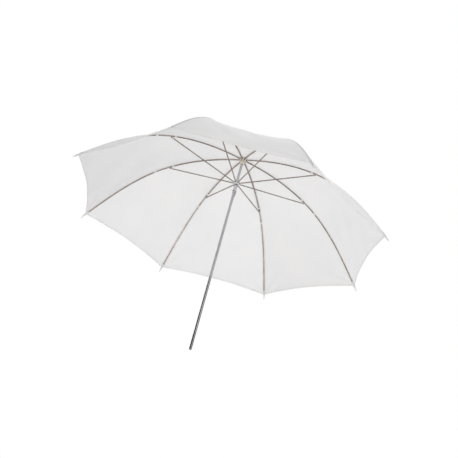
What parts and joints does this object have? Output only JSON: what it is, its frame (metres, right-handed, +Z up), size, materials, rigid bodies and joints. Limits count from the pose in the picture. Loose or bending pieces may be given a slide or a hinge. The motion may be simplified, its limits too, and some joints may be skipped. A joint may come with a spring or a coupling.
{
  "type": "umbrella reflector",
  "caption": "White translucent shoot-through umbrella reflector on a plain metal shaft, with folding ribs, a sliding runner and a sprung catch.",
  "frame": {"origin": "centre of the shaft's lower end face, where the umbrella enters a lamp's umbrella clamp", "axes": "+Z runs up the shaft towards the crown; +X points to the side where the catch stands out; the ribs lie at 22.5 degrees from X and every 45 degrees after that"},
  "size_m": [0.894, 0.894, 0.6471],
  "materials": {
    "shaft_steel": "satin nickel-plated steel tube",
    "runner_metal": "satin plated sheet metal with polished edges",
    "rib_metal": "thin dark grey-brown lacquered steel",
    "wire": "bright drawn wire",
    "cream_plastic": "moulded cream plastic, slightly glossy",
    "tip_plastic": "moulded ivory plastic",
    "plug_plastic": "moulded dark grey plastic",
    "white_cloth": "translucent white woven nylon",
    "thread": "white sewing thread"
  },
  "bodies": {
    "root": {"shaft": "shaft_steel", "shaft_plug": "plug_plastic", "crown": "cream_plastic", "crown_wire": "wire", "crown_pin": "wire", "canopy_patch": "white_cloth", "canopy_washer": "tip_plastic", "cap": "tip_plastic", "catch_pin": "rib_metal"},
    "catch": {"catch": "runner_metal"},
    "runner": {"runner": "runner_metal", "runner_wire": "wire"},
    "rib_1": {"rib_inner_1": "rib_metal", "canopy_inner_1": "white_cloth"},
    "rib_end_1": {"rib_outer_1": "rib_metal", "rib_tip_1": "tip_plastic", "canopy_outer_1": "white_cloth"},
    "stretcher_1": {"stretcher_1": "rib_metal"},
    "rib_2": {"rib_inner_2": "rib_metal", "canopy_inner_2": "white_cloth"},
    "rib_end_2": {"rib_outer_2": "rib_metal", "rib_tip_2": "tip_plastic", "canopy_outer_2": "white_cloth"},
    "stretcher_2": {"stretcher_2": "rib_metal"},
    "rib_3": {"rib_inner_3": "rib_metal", "canopy_inner_3": "white_cloth"},
    "rib_end_3": {"rib_outer_3": "rib_metal", "rib_tip_3": "tip_plastic", "canopy_outer_3": "white_cloth"},
    "stretcher_3": {"stretcher_3": "rib_metal"},
    "rib_4": {"rib_inner_4": "rib_metal", "canopy_inner_4": "white_cloth"},
    "rib_end_4": {"rib_outer_4": "rib_metal", "rib_tip_4": "tip_plastic", "canopy_outer_4": "white_cloth"},
    "stretcher_4": {"stretcher_4": "rib_metal"},
    "rib_5": {"rib_inner_5": "rib_metal", "canopy_inner_5": "white_cloth"},
    "rib_end_5": {"rib_outer_5": "rib_metal", "rib_tip_5": "tip_plastic", "canopy_outer_5": "white_cloth"},
    "stretcher_5": {"stretcher_5": "rib_metal"},
    "rib_6": {"rib_inner_6": "rib_metal", "canopy_inner_6": "white_cloth"},
    "rib_end_6": {"rib_outer_6": "rib_metal", "rib_tip_6": "tip_plastic", "canopy_outer_6": "white_cloth"},
    "stretcher_6": {"stretcher_6": "rib_metal"},
    "rib_7": {"rib_inner_7": "rib_metal", "canopy_inner_7": "white_cloth"},
    "rib_end_7": {"rib_outer_7": "rib_metal", "rib_tip_7": "tip_plastic", "canopy_outer_7": "white_cloth"},
    "stretcher_7": {"stretcher_7": "rib_metal"},
    "rib_8": {"rib_inner_8": "rib_metal", "canopy_inner_8": "white_cloth"},
    "rib_end_8": {"rib_outer_8": "rib_metal", "rib_tip_8": "tip_plastic", "canopy_outer_8": "white_cloth"},
    "stretcher_8": {"stretcher_8": "rib_metal"}
  },
  "joints": [
    {"name": "fold", "type": "hinge", "parent": "root", "child": "rib_1", "pos_m": [0.00831, 0.00344, 0.625], "axis": [-0.3827, 0.9239, 0], "range_deg": [0, 75], "deforming": ["canopy_inner_1"]},
    {"name": "rib_2_fold", "type": "hinge", "parent": "root", "child": "rib_2", "pos_m": [0.00344, 0.00831, 0.625], "axis": [-0.9239, 0.3827, 0], "range_deg": [0, 75], "deforming": ["canopy_inner_2"]},
    {"name": "rib_3_fold", "type": "hinge", "parent": "root", "child": "rib_3", "pos_m": [-0.00344, 0.00831, 0.625], "axis": [-0.9239, -0.3827, 0], "range_deg": [0, 75], "deforming": ["canopy_inner_3"]},
    {"name": "rib_4_fold", "type": "hinge", "parent": "root", "child": "rib_4", "pos_m": [-0.00831, 0.00344, 0.625], "axis": [-0.3827, -0.9239, 0], "range_deg": [0, 75], "deforming": ["canopy_inner_4"]},
    {"name": "rib_5_fold", "type": "hinge", "parent": "root", "child": "rib_5", "pos_m": [-0.00831, -0.00344, 0.625], "axis": [0.3827, -0.9239, 0], "range_deg": [0, 75], "deforming": ["canopy_inner_5"]},
    {"name": "rib_6_fold", "type": "hinge", "parent": "root", "child": "rib_6", "pos_m": [-0.00344, -0.00831, 0.625], "axis": [0.9239, -0.3827, 0], "range_deg": [0, 75], "deforming": ["canopy_inner_6"]},
    {"name": "rib_7_fold", "type": "hinge", "parent": "root", "child": "rib_7", "pos_m": [0.00344, -0.00831, 0.625], "axis": [0.9239, 0.3827, 0], "range_deg": [0, 75], "deforming": ["canopy_inner_7"]},
    {"name": "rib_8_fold", "type": "hinge", "parent": "root", "child": "rib_8", "pos_m": [0.00831, -0.00344, 0.625], "axis": [0.3827, 0.9239, 0], "range_deg": [0, 75], "deforming": ["canopy_inner_8"]},
    {"name": "rib_1_flex", "type": "hinge", "parent": "rib_1", "child": "rib_end_1", "pos_m": [0.21829, 0.09042, 0.58649], "axis": [-0.3827, 0.9239, 0], "range_deg": [-23, 0], "deforming": ["canopy_outer_1"]},
    {"name": "rib_2_flex", "type": "hinge", "parent": "rib_2", "child": "rib_end_2", "pos_m": [0.09042, 0.21829, 0.58649], "axis": [-0.9239, 0.3827, 0], "range_deg": [-23, 0], "deforming": ["canopy_outer_2"]},
    {"name": "rib_3_flex", "type": "hinge", "parent": "rib_3", "child": "rib_end_3", "pos_m": [-0.09042, 0.21829, 0.58649], "axis": [-0.9239, -0.3827, 0], "range_deg": [-23, 0], "deforming": ["canopy_outer_3"]},
    {"name": "rib_4_flex", "type": "hinge", "parent": "rib_4", "child": "rib_end_4", "pos_m": [-0.21829, 0.09042, 0.58649], "axis": [-0.3827, -0.9239, 0], "range_deg": [-23, 0], "deforming": ["canopy_outer_4"]},
    {"name": "rib_5_flex", "type": "hinge", "parent": "rib_5", "child": "rib_end_5", "pos_m": [-0.21829, -0.09042, 0.58649], "axis": [0.3827, -0.9239, 0], "range_deg": [-23, 0], "deforming": ["canopy_outer_5"]},
    {"name": "rib_6_flex", "type": "hinge", "parent": "rib_6", "child": "rib_end_6", "pos_m": [-0.09042, -0.21829, 0.58649], "axis": [0.9239, -0.3827, 0], "range_deg": [-23, 0], "deforming": ["canopy_outer_6"]},
    {"name": "rib_7_flex", "type": "hinge", "parent": "rib_7", "child": "rib_end_7", "pos_m": [0.09042, -0.21829, 0.58649], "axis": [0.9239, 0.3827, 0], "range_deg": [-23, 0], "deforming": ["canopy_outer_7"]},
    {"name": "rib_8_flex", "type": "hinge", "parent": "rib_8", "child": "rib_end_8", "pos_m": [0.21829, -0.09042, 0.58649], "axis": [0.3827, 0.9239, 0], "range_deg": [-23, 0], "deforming": ["canopy_outer_8"]},
    {"name": "stretcher_1_swing", "type": "hinge", "parent": "rib_1", "child": "stretcher_1", "pos_m": [0.21693, 0.08986, 0.58277], "axis": [-0.3827, 0.9239, 0], "range_deg": [-150, 0]},
    {"name": "stretcher_2_swing", "type": "hinge", "parent": "rib_2", "child": "stretcher_2", "pos_m": [0.08986, 0.21693, 0.58277], "axis": [-0.9239, 0.3827, 0], "range_deg": [-150, 0]},
    {"name": "stretcher_3_swing", "type": "hinge", "parent": "rib_3", "child": "stretcher_3", "pos_m": [-0.08986, 0.21693, 0.58277], "axis": [-0.9239, -0.3827, 0], "range_deg": [-150, 0]},
    {"name": "stretcher_4_swing", "type": "hinge", "parent": "rib_4", "child": "stretcher_4", "pos_m": [-0.21693, 0.08986, 0.58277], "axis": [-0.3827, -0.9239, 0], "range_deg": [-150, 0]},
    {"name": "stretcher_5_swing", "type": "hinge", "parent": "rib_5", "child": "stretcher_5", "pos_m": [-0.21693, -0.08986, 0.58277], "axis": [0.3827, -0.9239, 0], "range_deg": [-150, 0]},
    {"name": "stretcher_6_swing", "type": "hinge", "parent": "rib_6", "child": "stretcher_6", "pos_m": [-0.08986, -0.21693, 0.58277], "axis": [0.9239, -0.3827, 0], "range_deg": [-150, 0]},
    {"name": "stretcher_7_swing", "type": "hinge", "parent": "rib_7", "child": "stretcher_7", "pos_m": [0.08986, -0.21693, 0.58277], "axis": [0.9239, 0.3827, 0], "range_deg": [-150, 0]},
    {"name": "stretcher_8_swing", "type": "hinge", "parent": "rib_8", "child": "stretcher_8", "pos_m": [0.21693, -0.08986, 0.58277], "axis": [0.3827, 0.9239, 0], "range_deg": [-150, 0]},
    {"name": "runner_follow", "type": "hinge", "parent": "stretcher_1", "child": "runner", "pos_m": [0.00831, 0.00344, 0.54054], "axis": [-0.3827, 0.9239, 0], "range_deg": [0, 75]},
    {"name": "catch_press", "type": "hinge", "parent": "root", "child": "catch", "pos_m": [0.0026, 0, 0.48304], "axis": [0, -1, 0], "range_deg": [0, 6.5], "stiffness_Nm_per_rad": 0.05, "springref_deg": -5.73}
  ],
  "couplings": [
    {"joint": "rib_2_fold", "follows": "fold", "ratio": 1},
    {"joint": "rib_3_fold", "follows": "fold", "ratio": 1},
    {"joint": "rib_4_fold", "follows": "fold", "ratio": 1},
    {"joint": "rib_5_fold", "follows": "fold", "ratio": 1},
    {"joint": "rib_6_fold", "follows": "fold", "ratio": 1},
    {"joint": "rib_7_fold", "follows": "fold", "ratio": 1},
    {"joint": "rib_8_fold", "follows": "fold", "ratio": 1},
    {"joint": "rib_1_flex", "follows": "fold", "ratio": -0.3},
    {"joint": "rib_2_flex", "follows": "fold", "ratio": -0.3},
    {"joint": "rib_3_flex", "follows": "fold", "ratio": -0.3},
    {"joint": "rib_4_flex", "follows": "fold", "ratio": -0.3},
    {"joint": "rib_5_flex", "follows": "fold", "ratio": -0.3},
    {"joint": "rib_6_flex", "follows": "fold", "ratio": -0.3},
    {"joint": "rib_7_flex", "follows": "fold", "ratio": -0.3},
    {"joint": "rib_8_flex", "follows": "fold", "ratio": -0.3},
    {"joint": "stretcher_1_swing", "follows": "fold", "ratio": -2},
    {"joint": "stretcher_2_swing", "follows": "fold", "ratio": -2},
    {"joint": "stretcher_3_swing", "follows": "fold", "ratio": -2},
    {"joint": "stretcher_4_swing", "follows": "fold", "ratio": -2},
    {"joint": "stretcher_5_swing", "follows": "fold", "ratio": -2},
    {"joint": "stretcher_6_swing", "follows": "fold", "ratio": -2},
    {"joint": "stretcher_7_swing", "follows": "fold", "ratio": -2},
    {"joint": "stretcher_8_swing", "follows": "fold", "ratio": -2},
    {"joint": "runner_follow", "follows": "fold", "ratio": 1}
  ]
}
